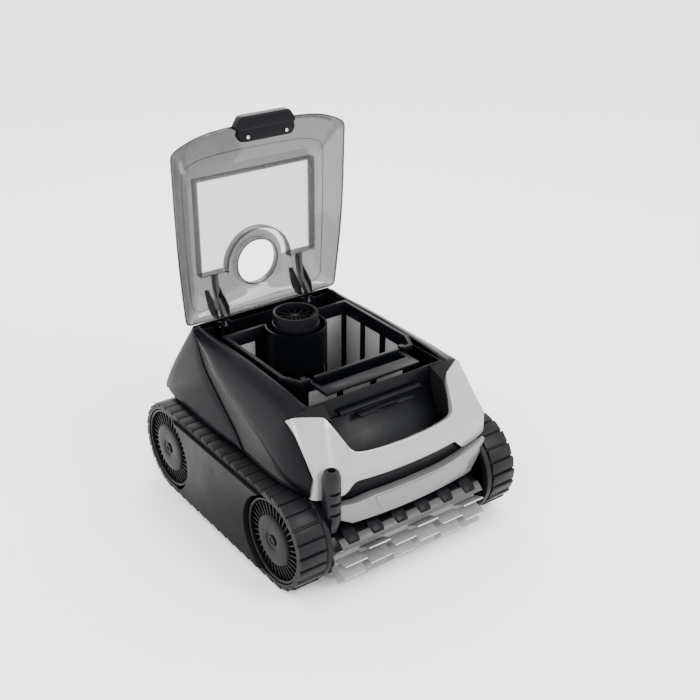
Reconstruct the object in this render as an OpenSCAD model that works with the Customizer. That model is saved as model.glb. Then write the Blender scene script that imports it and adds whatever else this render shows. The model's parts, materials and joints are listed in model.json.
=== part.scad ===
/* [Running gear] */
// Distance between the front and rear axles
wheel_base = 321.4; // [300:1:340]
// Radius over the track's lugs
tread_r = 79.5; // [78:0.5:82]
// Height of one lug above the belt
lug_h = 5; // [3:0.5:6]
// Thickness of the belt under its lugs
belt_t = 6; // [5:0.5:7]
// Half of the width over the two tracks
track_out = 210; // [205:1:214]
// Inner edge of the belt, from the middle plane
track_in = 152; // [152:0.5:154]
// Inner edge of the wide lugs
lug_in = 165; // [160:1:175]
// Radius of the wheel's axle pin
axle_r = 6; // [5:0.5:7]
// Running clearance of pins in their bores
running = 0.05; // [0.03:0.01:0.08]

/* [Body] */
// Height of the casing's lower edge
casing_z = 165; // [163:1:168]
// Height of the rim at the back of the hatch
rim_z = 280; // [278:1:281]
// Thickness of the moulded walls
wall = 3; // [2.5:0.5:3.5]
// Half width of the hatch
hatch_x = 126.5; // [125:0.5:128]
// Front edge of the hatch
hatch_front = -138; // [-140:1:-134]
// Back edge of the hatch
hatch_back = 178; // [176:1:179]

/* [Lid] */
// Distance of the hinge behind the axles' mid-point
hinge_y = 170; // [169:0.5:171]
// Height of the hinge
hinge_z = 270; // [269:0.5:271]
// Angle between the closed lid and the open lid
open_angle = 90; // [80:1:92]
// Thickness of the clear lid
lid_t = 2.5; // [2:0.5:3]
// Radius of the hole round the outlet
lid_hole_r = 39.6; // [39.5:0.1:41]

/* [Filter and pump] */
// Distance of the outlet behind the axles' mid-point
outlet_y = 81.8; // [80:0.2:84]
// Radius of the outlet column
outlet_r = 37.5; // [35:0.5:38]
// Height of the outlet's top ring
outlet_z = 307.4; // [300:0.2:308]
// Half width of the basket
basket_x = 123; // [120:0.5:124]
// Height of the basket's floor
basket_floor = 128; // [128:1:140]
// Height of the basket's rim
basket_top = 285; // [282:1:286]

/* [Brush] */
// Radius over the tips of the blades
brush_r = 42; // [38:1:43]
// Half length of the bladed stretch
brush_half = 141; // [130:1:142]
// Blades round one section
blade_count = 10; // [6:2:12]
// Sections along the roller
section_count = 6; // [4:1:8]

/* [Hidden] */
$fn = 64;

half_base = wheel_base / 2;
brush_y = -210;
brush_z = 45;
// The origin is on the ground under the middle of the whole part
front_reach = brush_r - brush_y;
rear_reach = half_base + tread_r;
mid_y = (front_reach - rear_reach) / 2;

belt_r = tread_r - lug_h;
wheel_r = belt_r - belt_t - 0.5;
frame_in = 147;
frame_out = 151;
wheel_in = 154;
bush_r = 9;
gear_m = 2;
wheel_teeth = 32;
pinion_teeth = 12;
pinion_y = half_base - gear_m * (wheel_teeth + pinion_teeth) / 2;
eps = 0.2;
gap = 0.5;

// Moves what is drawn about the axles' mid-point into the part's frame
module placed() {
    translate([0, mid_y, 0]) children();
}

// A convex block through a set of corner points
module block(points) {
    hull() for (p = points) translate(p) cube(eps, center = true);
}

// The same corner points on both sides of the middle plane
function both(points) = concat(points, [for (p = points) [-p[0], p[1], p[2]]]);

// A shape drawn in Y and Z, drawn out along X from x0 to x1
module along_x(x0, x1) {
    translate([x0, 0, 0]) rotate([90, 0, 90]) linear_extrude(x1 - x0) children();
}

// A shape drawn in X and Z, drawn out along Y from y0 to y1
module along_y(y0, y1) {
    translate([0, y1, 0]) rotate([90, 0, 0]) linear_extrude(y1 - y0) children();
}

module rod(x0, x1, r, y, z) {
    translate([x0, y, z]) rotate([0, 90, 0]) cylinder(r = r, h = x1 - x0);
}

module stadium(r) {
    for (s = [-1, 1]) translate([s * half_base, tread_r]) circle(r);
    translate([0, tread_r]) square([wheel_base, 2 * r], center = true);
}

// ---------- running gear ----------

straight_lugs = 14;
round_lugs = 11;
lug_gap = 3;

module lug_outline() {
    pitch = wheel_base / straight_lugs;
    for (s = [-1, 1])
        for (i = [0 : straight_lugs - 1])
            translate([-half_base + (i + 0.5) * pitch, tread_r + s * belt_r])
                square([pitch - lug_gap, 4 * lug_h], center = true);
    for (s = [-1, 1])
        for (i = [0 : round_lugs - 1])
            translate([s * half_base, tread_r])
                rotate(s > 0 ? -90 + 180 * (i + 0.5) / round_lugs : 90 + 180 * (i + 0.5) / round_lugs)
                    translate([belt_r, 0])
                        square([4 * lug_h, pitch - lug_gap], center = true);
}

module track() {
    along_x(track_in, track_out) difference() {
        stadium(belt_r);
        stadium(belt_r - belt_t);
    }
    along_x(lug_in, track_out) difference() {
        intersection() {
            stadium(tread_r);
            lug_outline();
        }
        stadium(belt_r - belt_t / 2);
    }
}

module gear_outline(teeth, phase) {
    step = 360 / teeth;
    pitch_r = gear_m * teeth / 2;
    root_r = pitch_r - 1.15 * gear_m;
    tip_r = pitch_r + 0.75 * gear_m;
    tooth = [[root_r, -0.23], [tip_r, -0.1], [tip_r, 0.1], [root_r, 0.23]];
    polygon([
        for (i = [0 : teeth - 1]) for (k = tooth)
            let (a = phase + (i + k[1]) * step) [k[0] * cos(a), k[0] * sin(a)]
    ]);
}

fin_count = 24;
hub_r = 40;

// One wheel with its rim, finned web, hub disc and inner gear
module wheel(side, y) {
    toward_pinion = 180;
    translate([0, y, tread_r]) mirror([side > 0 ? 0 : 1, 0, 0]) difference() {
        union() {
            along_x(wheel_in, track_out - 1) difference() {
                circle(wheel_r);
                circle(wheel_r - 5);
            }
            along_x(178, 182) circle(wheel_r - 4);
            along_x(178, track_out) circle(hub_r);
            along_x(182, track_out - 2) for (i = [0 : fin_count - 1])
                rotate(i * 360 / fin_count)
                    translate([hub_r - 1, -1.5]) square([wheel_r - hub_r - 3, 3]);
            along_x(wheel_in, 164) gear_outline(wheel_teeth, toward_pinion);
            along_x(163, 179) circle(20);
        }
        along_x(wheel_in - 1, track_out + 1) circle(bush_r);
        along_x(track_out - 4, track_out + 1) difference() {
            circle(hub_r - 5);
            circle(14);
        }
    }
}

module bush(side, y) {
    translate([0, y, tread_r]) mirror([side > 0 ? 0 : 1, 0, 0])
        along_x(wheel_in, track_out - 6) difference() {
            circle(bush_r);
            circle(axle_r + running);
        }
}

module axle_pins() color([0.7, 0.7, 0.72]) placed()
    for (s = [0, 1]) mirror([s, 0, 0]) for (y = [-half_base, half_base]) {
        rod(frame_in - 4, track_out - 5.5, axle_r, y, tread_r);
        rod(frame_in - 7, frame_in - 4 + eps, axle_r + 5, y, tread_r);
    }

module axle_caps() color([0.12, 0.12, 0.13]) placed()
    for (s = [0, 1]) mirror([s, 0, 0]) for (y = [-half_base, half_base])
        rod(track_out - 5.3, track_out + 4, 8.5, y, tread_r);

module side_frame(side) {
    mirror([side > 0 ? 0 : 1, 0, 0])
        along_x(frame_in, frame_out) difference() {
            polygon([
                [-226, 34], [-196, 26], [-150, 40], [150, 40], [196, 60],
                [198, 150], [-196, 150], [-196, 84], [-226, 60]
            ]);
            for (y = [-half_base, half_base]) translate([y, tread_r]) circle(axle_r + running);
            translate([brush_y, brush_z]) circle(5 + running);
            translate([pinion_y, tread_r]) circle(5 + running);
        }
}

cover_half = 132;
cut_r = 73;
cover_out = 215;

module side_cover(side) {
    edge = wheel_r - 1;
    mirror([side > 0 ? 0 : 1, 0, 0]) {
        difference() {
            along_x(204, cover_out) difference() {
                translate([0, tread_r]) square([2 * cover_half, 2 * edge], center = true);
                for (y = [-half_base, half_base]) translate([y, tread_r]) circle(cut_r);
            }
            along_x(203, cover_out - wall) difference() {
                translate([0, tread_r]) square([2 * cover_half - 14, 2 * edge - 2 * wall], center = true);
                for (y = [-half_base, half_base]) translate([y, tread_r]) circle(cut_r + wall);
            }
        }
        for (y = [-60, 60]) for (z = [-45, 45])
            rod(frame_out, cover_out - wall + eps, 7, y, tread_r + z);
    }
}

// ---------- body ----------

chassis_half = 146.5;
chassis_profile = [[-163, 28], [-163, 96], [-197, 96], [-200, 158], [228, 158], [220, 60], [196, 28]];
chassis_inside = [[-160, 31], [-160, 99], [-194, 99], [-197, 159], [225, 159], [217, 61], [194, 31]];
inlet_x = 66;
inlet_front = -48;
inlet_back = -4;

module lower_chassis() color([0.13, 0.13, 0.14]) placed() difference() {
    along_x(-chassis_half, chassis_half) polygon(chassis_profile);
    along_x(-chassis_half + wall, chassis_half - wall) polygon(chassis_inside);
    translate([-inlet_x - gap, inlet_front - gap, 20])
        cube([2 * (inlet_x + gap), inlet_back - inlet_front + 2 * gap, 40]);
    for (s = [0, 1]) mirror([s, 0, 0]) {
        rod(chassis_half - 10, chassis_half + 2, 12.5, -half_base, tread_r);
        rod(chassis_half - 10, chassis_half + 2, 12.5, half_base, tread_r);
        rod(chassis_half - 10, chassis_half + 2, 6, pinion_y, tread_r);
    }
}

// Corner points of the casing on one side, widened by d
function casing_points(d) = [
    [135 + d, 185 + d, rim_z + d],
    [147 + d, 168 + d, 271 + d],
    [133 + d, 20, 283 + d],
    [138 + d, -111, 275 + d],
    [156 + d, 0, 268 + d],
    [160 + d, -140, 263 + d],
    [163 + d, -208 - d, 190 + d],
    [167 + d, -205 - d, casing_z - 3],
    [184 + d, -150, casing_z],
    [187 + d, 20, casing_z],
    [184 + d, 190, casing_z],
    [172 + d, 236 + d, 160],
    [166 + d, 233 + d, 150]
];

// The slanted cut where the casing meets the silver front, and the room behind its bar
grip_x = 110;

module ahead_of_casing() {
    along_x(-250, 250) polygon([
        [-139, 400], [-139, 252], [-193, 188], [-198.6, 170], [-198.6, 100], [-400, 100], [-400, 400]
    ]);
    translate([-grip_x, -260, 100]) cube([2 * grip_x, 260 + hatch_front - wall - gap, 300]);
}

module hatch_void() {
    translate([-hatch_x - wall - gap, hatch_front - wall - gap, 120])
        cube([2 * (hatch_x + wall + gap), hatch_back - hatch_front + 2 * (wall + gap), 300]);
}

module upper_casing() color([0.17, 0.18, 0.2]) placed() difference() {
    block(both(casing_points(0)));
    block(concat(both(casing_points(-wall)), both([[168, -200, 120], [168, 225, 120]])));
    ahead_of_casing();
    hatch_void();
    difference() {
        blade_sides(0.5);
        block(both(casing_points(-blade_depth)));
    }
}

// The long inset panel that runs down each side from the back corner to the front
blade_depth = 1.6;
blade_outline = [
    [168, 266], [78, 245], [-12, 223], [-82, 203], [-135, 182], [-142, 170],
    [-39, 171], [-11, 189], [46, 214], [109, 239], [168, 261]
];

module blade_sides(d) {
    for (s = [0, 1]) mirror([s, 0, 0]) along_x(120, 200) offset(delta = d) polygon(blade_outline);
}

module side_blade(side) {
    intersection() {
        difference() {
            block(both(casing_points(0)));
            block(both(casing_points(-blade_depth + 0.2)));
        }
        mirror([side > 0 ? 0 : 1, 0, 0]) along_x(120, 200) polygon(blade_outline);
    }
}

module hatch_liner() color([0.06, 0.07, 0.08]) placed() difference() {
    translate([-hatch_x - wall, hatch_front - wall, 160])
        cube([2 * (hatch_x + wall), hatch_back - hatch_front + 2 * wall, 111]);
    translate([-hatch_x, hatch_front, 150])
        cube([2 * hatch_x, hatch_back - hatch_front, 140]);
}

pillar_front = [[160, -143, 263], [163, -142, 259], [116, -167, 262], [97, -209, 217], [163.4, -207, 192]];
pillar_back = [[158, -141, 252], [113, -155, 258], [96, -196, 211], [160, -195, 188]];
bar_front = [
    [97, -209, 217], [0, -217, 211], [97, -216, 190],
    [0, -225, 186], [95, -216, 171], [0, -222, 168]
];
bar_back = [[97, -198, 212], [0, -206, 206], [95, -206, 172], [0, -212, 169]];
end_front = [
    [97, -209, 217], [163.4, -207, 192], [168, -204, 165],
    [166, -206, 155], [116, -213, 151], [95, -217, 171]
];
end_back = [[97, -200, 214], [158, -200, 192], [162, -201, 155], [116, -203, 151], [95, -206, 171]];

module front_fascia() color([0.78, 0.77, 0.77]) placed() difference() {
    union() {
        for (s = [0, 1]) mirror([s, 0, 0]) {
            block(concat(pillar_front, pillar_back));
            block(concat(bar_front, bar_back));
            block(concat(end_front, end_back));
        }
    }
    translate([boot_x, boot_y, 90]) cylinder(r = boot_r + 1, h = 125);
}

bumper_r = 771;
bumper_front = -231;
bumper_outline = [
    [-126, 141], [-100, 139], [-69, 143], [69, 143], [110, 146], [161, 153.5],
    [161, 146], [151, 140], [151, 131], [128, 105], [-106, 105], [-126, 116]
];

module bowed(front, depth) {
    translate([0, front + bumper_r, 0]) difference() {
        cylinder(r = bumper_r, h = 400, $fn = 200);
        translate([0, 0, -1]) cylinder(r = bumper_r - depth, h = 402, $fn = 200);
    }
}

module front_bumper() color([0.7, 0.7, 0.7]) placed() difference() {
    intersection() {
        bowed(bumper_front, 14);
        along_y(-260, -190) polygon(bumper_outline);
    }
    translate([frame_out - gap, -208.4, 90]) cube([20, 20, 100]);
}

module badge_plate() color([0.74, 0.74, 0.74]) placed() intersection() {
    bowed(bumper_front - 1.2, 1.1);
    along_y(-260, -190) polygon([
        [-66, 140], [66, 140], [68, 134], [58, 115],
        [50, 112], [-50, 112], [-58, 115], [-68, 134]
    ]);
}

module slot_band() color([0.07, 0.08, 0.09]) placed() intersection() {
    bowed(bumper_front + 15, 6);
    along_y(-260, -190) polygon([
        [-112, 144], [-100, 140], [112, 140], [112, 151],
        [94, 167], [-94, 167], [-112, 151]
    ]);
}

module handle_scoop() color([0.05, 0.06, 0.08]) placed()
    along_x(-108, 108) polygon([
        [-143, 240], [-158, 214], [-178, 190], [-201, 177], [-201, 174], [-176, 186], [-155, 212], [-143, 234]
    ]);

module front_ledge() color([0.09, 0.09, 0.1]) placed()
    along_x(-78, 78) polygon([
        [-142, 251], [-149, 251], [-153, 248.5], [-153, 244], [-142, 244]
    ]);

module catch_plate() color([0.08, 0.08, 0.09]) placed() difference() {
    translate([-52, -168, 240]) cube([104, 14.5, 4]);
    translate([-18, -172, 230]) cube([36, 10, 20]);
}

boot_x = -144;
boot_y = -222;
boot_r = 14;
boot_base = 108;
boot_top = 211;

module cable_boot() color([0.1, 0.1, 0.11]) placed() translate([boot_x, boot_y, 0]) difference() {
    rotate_extrude() polygon([
        [0, boot_base], [9, boot_base], [boot_r - 0.5, boot_base + 18], [boot_r, boot_base + 24],
        [boot_r, boot_top - 10], [boot_r - 3, boot_top - 2], [boot_r - 6, boot_top], [0, boot_top]
    ]);
    translate([0, 0, boot_top - 26]) cylinder(r = 6, h = 30);
    translate([-boot_r - 1, -boot_r - 1, boot_base - 1]) cube([boot_r - 6.4, 2 * boot_r + 2, 30]);
    for (i = [0 : 2])
        translate([-boot_r - 1, -boot_r - 1, boot_top - 36 - i * 18]) cube([2 * boot_r + 2, 6, 5]);
}

// The short neck that carries the boot on the front of the chassis
module boot_neck() color([0.1, 0.1, 0.11]) placed() difference() {
    translate([boot_x, -200.2, boot_base + 10]) rotate([90, 0, 0]) cylinder(r = 7, h = 21);
    translate([boot_x, boot_y, 0]) cylinder(r = boot_r, h = 300);
}

// ---------- drive unit, pump and outlet ----------

unit_x = 82;
unit_front = 42;
unit_back = 148;
unit_low = 34;
unit_top = 116;

module drive_unit() color([0.2, 0.2, 0.22]) placed() difference() {
    translate([-unit_x, unit_front, unit_low])
        cube([2 * unit_x, unit_back - unit_front, unit_top - unit_low]);
    translate([-unit_x + wall, unit_front + wall, unit_low + wall])
        cube([2 * (unit_x - wall), unit_back - unit_front - 2 * wall, unit_top]);
    for (s = [0, 1]) mirror([s, 0, 0]) rod(unit_x - 10, unit_x + 2, 5 + running, pinion_y, tread_r);
}

module cover_seal() color([0.05, 0.05, 0.05]) placed() difference() {
    translate([-unit_x, unit_front, unit_top]) cube([2 * unit_x, unit_back - unit_front, 2]);
    translate([-unit_x + wall, unit_front + wall, unit_top - 1])
        cube([2 * (unit_x - wall), unit_back - unit_front - 2 * wall, 5]);
}

module drive_unit_cover() color([0.2, 0.2, 0.22]) placed() difference() {
    translate([-unit_x, unit_front, unit_top + 2]) cube([2 * unit_x, unit_back - unit_front, 5]);
    translate([0, outlet_y, unit_top]) cylinder(r = 3 + running, h = 20);
}

module control_board() color([0.1, 0.35, 0.2]) placed()
    translate([-70, unit_front + 6, unit_low + 8]) cube([140, 1.6, 60]);

module pump_motor() color([0.55, 0.55, 0.57]) placed() difference() {
    translate([0, outlet_y, unit_low + wall]) cylinder(r = 27, h = 74);
    translate([0, outlet_y, unit_top - 40]) cylinder(r = 3 + running, h = 60);
}

module drive_motor(side) {
    mirror([side > 0 ? 0 : 1, 0, 0]) difference() {
        rod(34, 76, 17, pinion_y, tread_r);
        rod(60, 80, 5 + running, pinion_y, tread_r);
    }
}

module drive_pinion(side) {
    translate([0, pinion_y, tread_r]) mirror([side > 0 ? 0 : 1, 0, 0]) {
        along_x(wheel_in + 1, 162) gear_outline(pinion_teeth, 180 / pinion_teeth);
        along_x(62, wheel_in + 1 + eps) circle(5);
    }
}

module motor_shaft() color([0.75, 0.75, 0.77]) placed()
    translate([0, outlet_y, unit_top - 38]) cylinder(r = 3, h = 172);

impeller_z = 232;

module impeller() color([0.15, 0.15, 0.16]) placed() translate([0, outlet_y, impeller_z]) difference() {
    union() {
        cylinder(r = 8, h = 22);
        for (i = [0 : 3]) rotate([0, 0, i * 90]) translate([6, 0, 11]) rotate([35, 0, 0])
            translate([0, -1.2, -10]) cube([23, 2.4, 20]);
    }
    translate([0, 0, -1]) cylinder(r = 3, h = 30);
}

module outlet_column() color([0.06, 0.06, 0.07]) placed() translate([0, outlet_y, 0]) difference() {
    union() {
        translate([0, 0, unit_top + 7]) cylinder(r = outlet_r, h = outlet_z - unit_top - 7);
        translate([0, 0, outlet_z - 30]) cylinder(r = outlet_r + 2, h = 12);
    }
    translate([0, 0, unit_top]) cylinder(r = outlet_r - 5, h = 300);
    for (a = [0 : 60 : 359]) rotate([0, 0, a]) translate([20, -12, 134]) cube([30, 24, 46]);
}

module outlet_grille() color([0.05, 0.05, 0.06]) placed() translate([0, outlet_y, outlet_z - 12]) {
    difference() {
        cylinder(r = outlet_r - 5, h = 5);
        translate([0, 0, -1]) cylinder(r = outlet_r - 8, h = 7);
    }
    cylinder(r = 7, h = 6);
    for (a = [0 : 30 : 359]) rotate([0, 0, a]) translate([6, -0.8, 1]) cube([outlet_r - 13, 1.6, 3.5]);
}

module inlet_duct() color([0.1, 0.1, 0.11]) placed() difference() {
    translate([-inlet_x, inlet_front, 26])
        cube([2 * inlet_x, inlet_back - inlet_front, basket_floor - 27]);
    translate([-inlet_x + wall, inlet_front + wall, 20])
        cube([2 * (inlet_x - wall), inlet_back - inlet_front - 2 * wall, 200]);
}

// ---------- basket ----------

basket_front = -92;
basket_back = 112;
well_r = 52;

module basket_plan(d) {
    polygon([
        [-basket_x + d, -62 + d / 2], [-108 + d / 2, basket_front + d], [108 - d / 2, basket_front + d],
        [basket_x - d, -62 + d / 2], [basket_x - d, basket_back - d], [-basket_x + d, basket_back - d]
    ]);
}

flap_x = 58;
flap_front = -44;
flap_back = -9;
window_low = 158;
window_top = 262;

module side_windows(depth) {
    for (s = [0, 1]) mirror([s, 0, 0]) for (y = [-50, 6, 60])
        translate([basket_x - depth, y, window_low]) cube([depth + 5, 42, window_top - window_low]);
    for (x = [-92, -27, 38])
        translate([x, basket_front - 5, window_low]) cube([54, depth + 5, window_top - window_low]);
    for (x = [-112, 64])
        translate([x, basket_back - depth, window_low]) cube([48, depth + 5, window_top - window_low]);
}

bail_y = -84;
bail_z = 275;
bail_x = 89;
bail_t = 5;

module basket_handle() color([0.06, 0.06, 0.07]) placed() {
    for (s = [0, 1]) mirror([s, 0, 0]) {
        translate([bail_x - 7, -112, bail_z - bail_t / 2]) cube([7, 112 + bail_y, bail_t]);
        rod(bail_x - 7, bail_x + 9, 3, bail_y, bail_z);
    }
    translate([-bail_x, -132, bail_z - bail_t / 2]) cube([2 * bail_x, 24, bail_t]);
}

module basket_frame() color([0.05, 0.05, 0.06]) placed() difference() {
    union() {
        translate([0, 0, basket_floor]) linear_extrude(basket_top - basket_floor - 8) basket_plan(2.5);
        translate([0, 0, basket_top - 10]) linear_extrude(10) basket_plan(0);
    }
    difference() {
        translate([0, 0, basket_floor + wall]) linear_extrude(200) basket_plan(6);
        for (s = [0, 1]) mirror([s, 0, 0])
            translate([bail_x + 0.5, basket_front, bail_z - 10]) cube([9, 16, 18]);
    }
    for (s = [0, 1]) mirror([s, 0, 0])
        translate([bail_x - 8, basket_front - 1, bail_z - bail_t / 2 - gap]) cube([8.5, 20, 30]);
    translate([0, outlet_y, 0]) cylinder(r = well_r, h = 400);
    translate([-flap_x + 4, flap_front + 4, 100]) cube([2 * flap_x - 8, flap_back - flap_front - 8, 60]);
    side_windows(8);
    for (s = [0, 1]) mirror([s, 0, 0]) rod(bail_x, bail_x + 11, 3 + running, bail_y, bail_z);
}

// The upright sleeve round the outlet column, with its own windows
module basket_well() color([0.05, 0.05, 0.06]) placed() difference() {
    intersection() {
        translate([0, outlet_y, basket_floor]) cylinder(r = well_r, h = basket_top - basket_floor);
        linear_extrude(400) basket_plan(2.5);
    }
    translate([0, outlet_y, 0]) cylinder(r = well_r - wall, h = 400);
    for (a = [20 : 40 : 160]) translate([0, outlet_y, 150]) rotate([0, 0, -a])
        translate([well_r - 8, -11, 0]) cube([16, 22, 70]);
}

module basket_screens() color([0.62, 0.63, 0.64]) placed() difference() {
    intersection() {
        translate([0, 0, window_low + gap])
        linear_extrude(window_top - window_low - 2 * gap) difference() {
            basket_plan(3.6);
            basket_plan(4.8);
        }
        side_windows_inset();
    }
}

module side_windows_inset() {
    for (s = [0, 1]) mirror([s, 0, 0]) for (y = [-50, 6, 60])
        translate([basket_x - 12, y + gap, window_low]) cube([20, 42 - 2 * gap, 200]);
    for (x = [-92, -27, 38])
        translate([x + gap, basket_front - 5, window_low]) cube([54 - 2 * gap, 17, 200]);
    for (x = [-112, 64])
        translate([x + gap, basket_back - 12, window_low]) cube([48 - 2 * gap, 17, 200]);
}

module inlet_flap() color([0.12, 0.12, 0.13]) placed() {
    translate([-flap_x, flap_front, basket_floor + wall + 0.4])
        cube([2 * flap_x, flap_back - flap_front, 2]);
    rod(-flap_x, flap_x, 1.8, flap_back, basket_floor + wall + 2.4);
}

// ---------- lid, drawn closed about its hinge and then swung open ----------

// d is the distance ahead of the hinge, and h the height above it
module swung() {
    placed() translate([0, hinge_y, hinge_z]) rotate([-open_angle, 0, 0]) children();
}

function lid_points(t) = [
    [124 - t, -62, 37 - t], [124 - t, -256, 37 - t],
    [149 - t, -12 - t, 11.6 - t], [120 - t, -12 - t, 27 - t],
    [160 - t, -150, 4 - t], [163 - t, -309 + t, 1 - t],
    [112 - t, -332 + t, -3 - t], [60 - t, -336 + t, -2 - t]
];

arm_x = 84;

module lid_shell() color([0.6, 0.6, 0.62, 0.45]) swung() difference() {
    union() {
        difference() {
            block(both(lid_points(0)));
            block(concat(
                both(lid_points(lid_t)),
                both([[150, -14, -10], [161, -306, -12], [110, -331, -14]])
            ));
        }
        translate([0, -(hinge_y - outlet_y), 34]) cylinder(r = lid_hole_r + 3, h = 5);
    }
    translate([0, -(hinge_y - outlet_y), -20]) cylinder(r = lid_hole_r, h = 90);
}

frame_x = 118;
rib_low = 18;
rib_top = 34.2;
ring_r = 61;

module rib_plan() {
    difference() {
        union() {
            translate([-frame_x + 4, -253]) square([2 * frame_x - 8, 166]);
            translate([0, -(hinge_y - outlet_y)]) circle(ring_r + 2.5);
        }
        rib_opening();
    }
}

module rib_opening() {
    difference() {
        translate([-frame_x + 7, -250]) square([2 * frame_x - 14, 160]);
        translate([0, -(hinge_y - outlet_y)]) circle(ring_r + 2.5);
    }
    translate([0, -(hinge_y - outlet_y)]) circle(ring_r);
    translate([-ring_r - 5, -84]) square([2 * ring_r + 10, 100]);
}

module lid_frame() color([0.45, 0.45, 0.47]) swung()
    translate([0, 0, rib_low]) linear_extrude(rib_top - rib_low) rib_plan();

module lid_arms() color([0.5, 0.5, 0.52]) swung() difference() {
    for (s = [-1, 1]) translate([s * arm_x, 0, 0]) {
        rod(-4, 4, 7, 0, 0);
        along_x(-3, 3) polygon([
            [-86, 34], [-66, 34], [-30, 24], [-17, 7], [0, 6],
            [0, -6], [-20, -6], [-44, 16.4], [-86, 20]
        ]);
    }
    rod(-120, 120, 3 + running, 0, 0);
}

latch_pin_y = -330;
latch_pin_z = -11;
latch_x = 56;

module latch_base() color([0.07, 0.07, 0.08]) swung() difference() {
    translate([-latch_x + 4, -335, -16]) cube([2 * latch_x - 8, 23.4, 10]);
    rod(-latch_x, latch_x, 1.5 + running, latch_pin_y, latch_pin_z);
}

module latch_screws() color([0.8, 0.8, 0.8]) swung()
    for (s = [-1, 1]) translate([s * 36, -320, -18]) cylinder(r = 3, h = 2);

module latch_lever() color([0.06, 0.06, 0.07]) swung() {
    along_x(-latch_x, latch_x) polygon([
        [-337.5, -16], [-337.5, -6], [-344, 2], [-353, 2], [-353, -10], [-349, -16]
    ]);
    for (s = [0, 1]) mirror([s, 0, 0])
        translate([latch_x - 3.5, -338, -16]) cube([3.5, 11, 9]);
    rod(-latch_x, latch_x, 1.5, latch_pin_y, latch_pin_z);
    translate([-9, -345, -26]) cube([18, 5, 12]);
}

module hinge_brackets() color([0.06, 0.06, 0.07]) placed()
    for (s = [-1, 1]) for (k = [-1, 1]) difference() {
        translate([s * arm_x + k * 8 - 3, hinge_y - 8, hinge_z - 26])
            cube([6, hatch_back - hinge_y + 8, 34]);
        rod(-120, 120, 3 + running, hinge_y, hinge_z);
    }

module hinge_pins() color([0.75, 0.75, 0.77]) placed()
    for (s = [-1, 1]) rod(s * arm_x - 13, s * arm_x + 13, 3, hinge_y, hinge_z);

// ---------- brush ----------

module brush_core() color([0.1, 0.1, 0.11]) placed() {
    rod(-145, 145, 12, brush_y, brush_z);
    rod(-150.5, 150.5, 5, brush_y, brush_z);
}

module brush_blades() color([0.36, 0.36, 0.37]) placed() translate([0, brush_y, brush_z]) {
    width = 2 * brush_half / section_count;
    for (i = [0 : section_count - 1]) for (k = [0 : blade_count - 1])
        rotate([k * 360 / blade_count + (i % 2) * 180 / blade_count, 0, 0])
            translate([-brush_half + i * width + 1, -brush_r, -1.2])
                cube([width - 2, brush_r - 12.2, 2.4]);
    difference() {
        rod(-brush_half, brush_half, 16, 0, 0);
        rod(-brush_half - 1, brush_half + 1, 12.2, 0, 0);
    }
}

module brush_guard() color([0.09, 0.09, 0.1]) placed() difference() {
    along_x(-138, 138) difference() {
        translate([brush_y, brush_z]) circle(50);
        translate([brush_y, brush_z]) circle(46);
        translate([-300, -50]) square([300, 112]);
        translate([-164, 0]) square([100, 200]);
        translate([-300, 0]) square([67, 200]);
    }
}

// ---------- handed parts ----------

module side_blade_left() color([0.42, 0.42, 0.43]) placed() side_blade(-1);
module side_blade_right() color([0.42, 0.42, 0.43]) placed() side_blade(1);
module side_frame_left() color([0.1, 0.1, 0.11]) placed() side_frame(-1);
module side_frame_right() color([0.1, 0.1, 0.11]) placed() side_frame(1);
module side_cover_left() color([0.27, 0.27, 0.28]) placed() side_cover(-1);
module side_cover_right() color([0.27, 0.27, 0.28]) placed() side_cover(1);
module track_left() color([0.09, 0.09, 0.1]) placed() mirror([1, 0, 0]) track();
module track_right() color([0.09, 0.09, 0.1]) placed() track();
module wheel_front_left() color([0.12, 0.12, 0.13]) placed() wheel(-1, -half_base);
module wheel_front_right() color([0.12, 0.12, 0.13]) placed() wheel(1, -half_base);
module wheel_rear_left() color([0.12, 0.12, 0.13]) placed() wheel(-1, half_base);
module wheel_rear_right() color([0.12, 0.12, 0.13]) placed() wheel(1, half_base);
module bush_front_left() color([0.85, 0.84, 0.8]) placed() bush(-1, -half_base);
module bush_front_right() color([0.85, 0.84, 0.8]) placed() bush(1, -half_base);
module bush_rear_left() color([0.85, 0.84, 0.8]) placed() bush(-1, half_base);
module bush_rear_right() color([0.85, 0.84, 0.8]) placed() bush(1, half_base);
module drive_motor_left() color([0.5, 0.5, 0.52]) placed() drive_motor(-1);
module drive_motor_right() color([0.5, 0.5, 0.52]) placed() drive_motor(1);
module drive_pinion_left() color([0.85, 0.84, 0.8]) placed() drive_pinion(-1);
module drive_pinion_right() color([0.85, 0.84, 0.8]) placed() drive_pinion(1);

// ---------- drawing ----------

lower_chassis();
upper_casing();
side_blade_left();
side_blade_right();
hatch_liner();
front_fascia();
front_bumper();
badge_plate();
slot_band();
handle_scoop();
front_ledge();
catch_plate();
cable_boot();
boot_neck();
side_frame_left();
side_frame_right();
side_cover_left();
side_cover_right();
track_left();
track_right();
axle_pins();
axle_caps();
wheel_front_left();
wheel_front_right();
wheel_rear_left();
wheel_rear_right();
bush_front_left();
bush_front_right();
bush_rear_left();
bush_rear_right();
drive_unit();
drive_unit_cover();
cover_seal();
control_board();
pump_motor();
drive_motor_left();
drive_motor_right();
drive_pinion_left();
drive_pinion_right();
motor_shaft();
impeller();
outlet_column();
outlet_grille();
inlet_duct();
hinge_brackets();
hinge_pins();
lid_shell();
lid_frame();
lid_arms();
latch_base();
latch_lever();
latch_screws();
basket_frame();
basket_well();
basket_screens();
basket_handle();
inlet_flap();
brush_core();
brush_blades();
brush_guard();
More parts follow.
